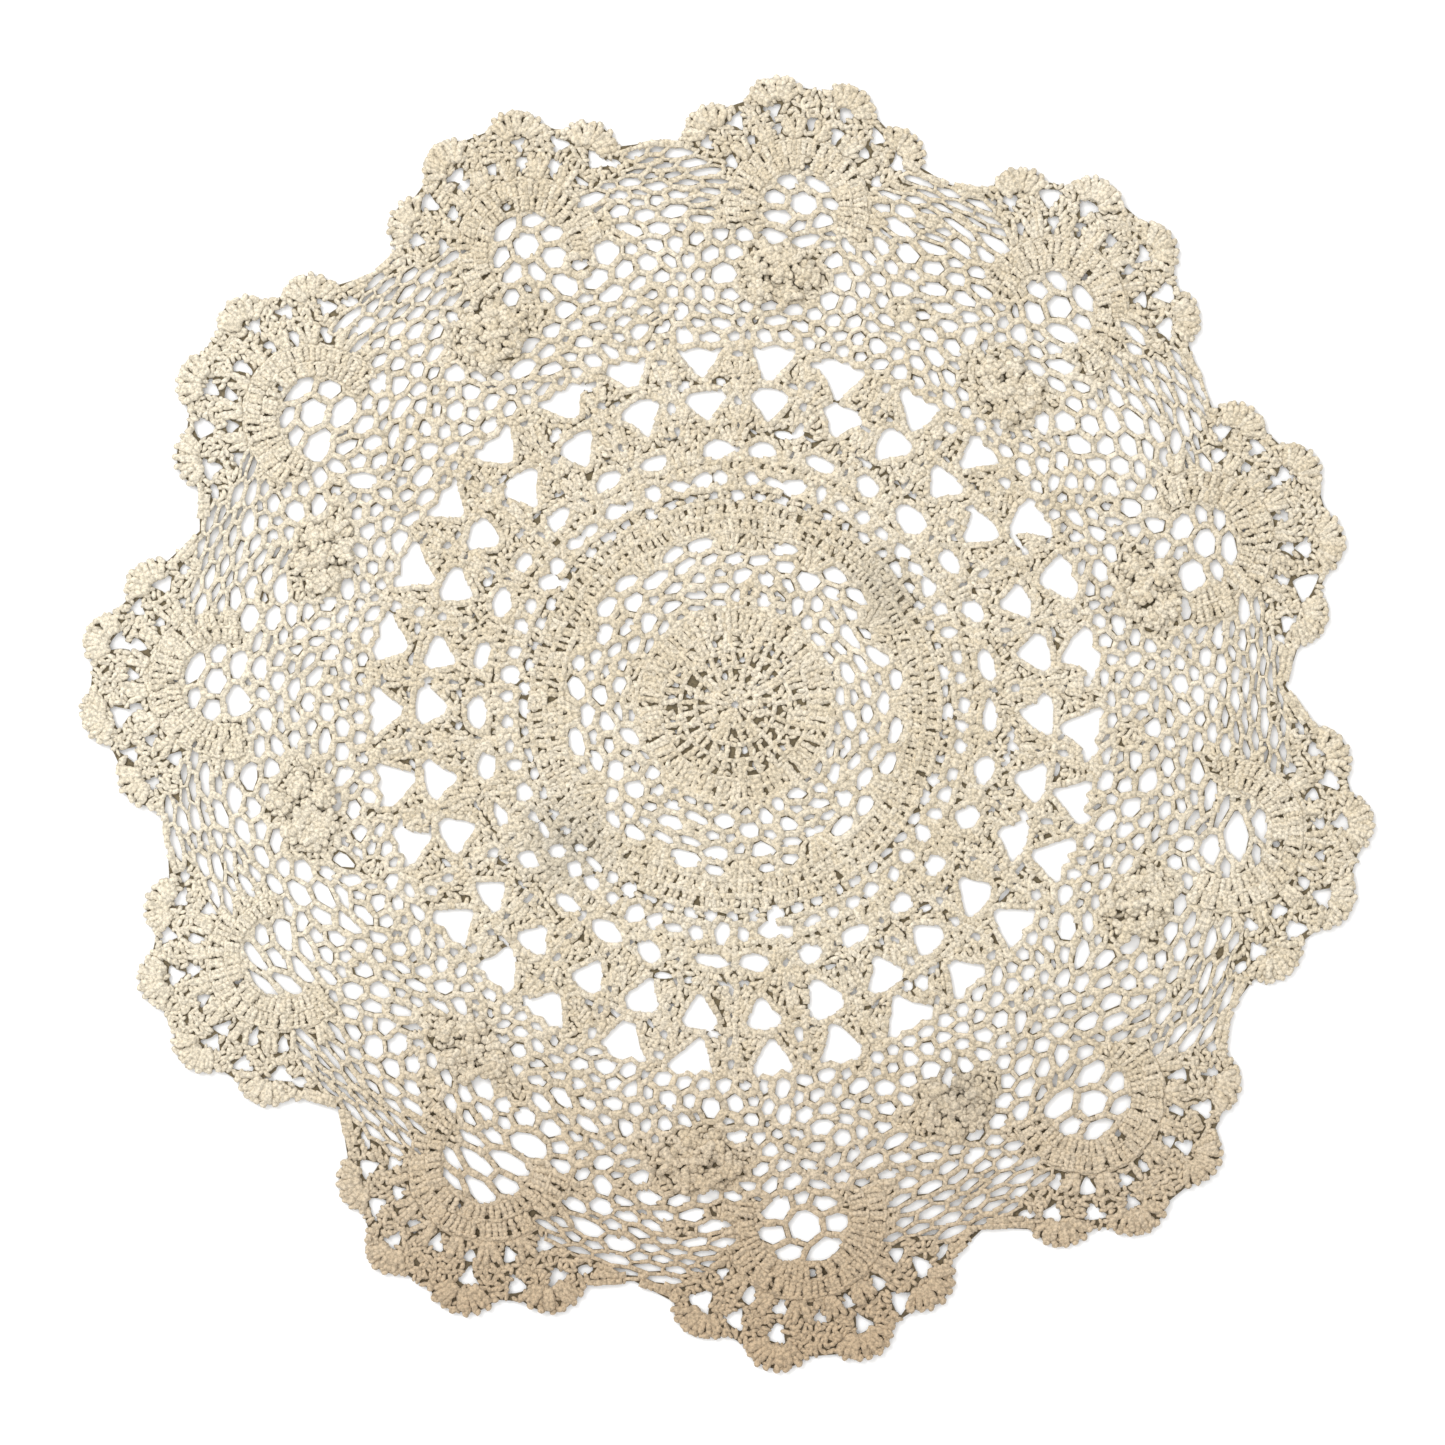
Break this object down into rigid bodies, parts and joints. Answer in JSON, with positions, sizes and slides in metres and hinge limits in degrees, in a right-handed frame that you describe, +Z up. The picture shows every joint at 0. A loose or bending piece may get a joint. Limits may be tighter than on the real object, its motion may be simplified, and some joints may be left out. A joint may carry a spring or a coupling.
{
  "type": "crocheted lace doily",
  "caption": "Round scalloped crochet doily lying flat, with an openwork fan band, a net ground and raised shell clusters.",
  "frame": {"origin": "middle of the centre medallion on the underside, where the doily rests", "axes": "+Z up out of the lace's face, +Y towards the scallop at the top of the picture, +X to the picture's right"},
  "size_m": [0.4074, 0.4078, 0.003],
  "materials": {
    "crochet_cotton": "matte ecru cotton thread, softly mottled with age"
  },
  "bodies": {
    "root": {"doily": "crochet_cotton"}
  },
  "joints": []
}
